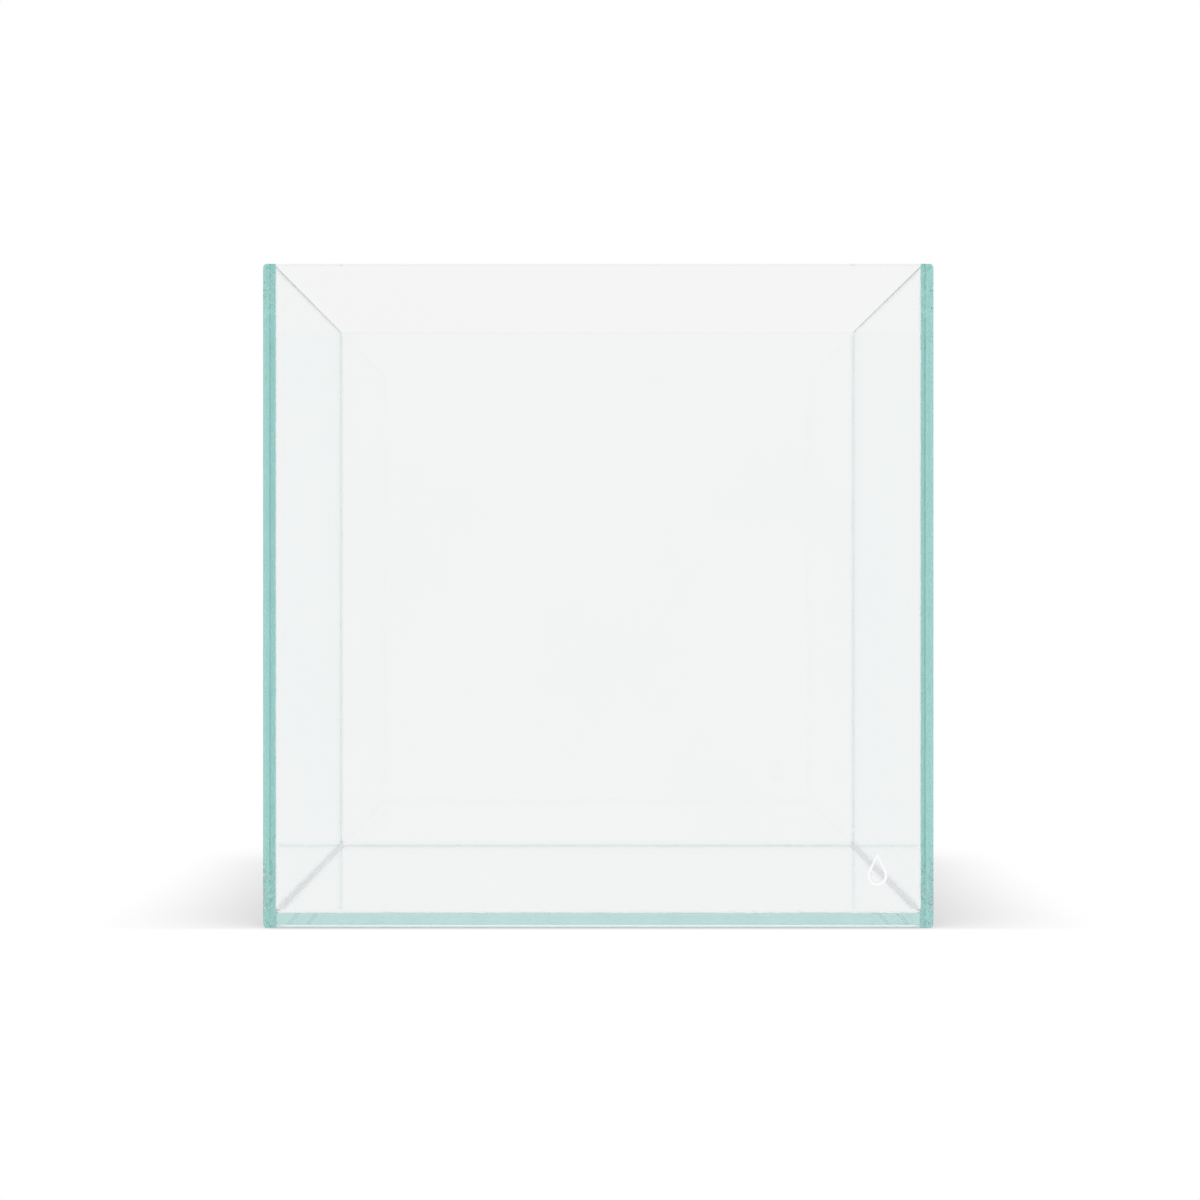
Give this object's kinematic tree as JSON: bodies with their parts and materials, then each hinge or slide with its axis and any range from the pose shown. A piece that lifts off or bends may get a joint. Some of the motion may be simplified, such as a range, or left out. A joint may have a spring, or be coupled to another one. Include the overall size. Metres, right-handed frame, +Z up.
{
  "type": "glass aquarium tank",
  "caption": "Rimless open-topped glass cube tank: flat panes glued edge to face with clear silicone, bevelled rim, raised bottom pane.",
  "frame": {"origin": "middle of the underside, on the surface that the tank stands on", "axes": "+X is the width, +Y runs from the front pane to the back pane, +Z is up"},
  "size_m": [0.45, 0.4501, 0.445],
  "materials": {
    "low_iron_glass": "polished low-iron float glass",
    "bond_silicone": "clear cured silicone, pressed thin",
    "seal_silicone": "clear cured silicone, tooled to a hollow",
    "fired_ink": "white ink fired onto the glass"
  },
  "bodies": {
    "root": {"front_pane": "low_iron_glass", "back_pane": "low_iron_glass", "left_pane": "low_iron_glass", "right_pane": "low_iron_glass", "bottom_pane": "low_iron_glass", "front_left_bond": "bond_silicone", "front_right_bond": "bond_silicone", "back_left_bond": "bond_silicone", "back_right_bond": "bond_silicone", "front_floor_bond": "bond_silicone", "back_floor_bond": "bond_silicone", "left_floor_bond": "bond_silicone", "right_floor_bond": "bond_silicone", "front_left_seal": "seal_silicone", "front_right_seal": "seal_silicone", "back_left_seal": "seal_silicone", "back_right_seal": "seal_silicone", "front_floor_seal": "seal_silicone", "back_floor_seal": "seal_silicone", "left_floor_seal": "seal_silicone", "right_floor_seal": "seal_silicone", "printed_mark": "fired_ink"}
  },
  "joints": []
}
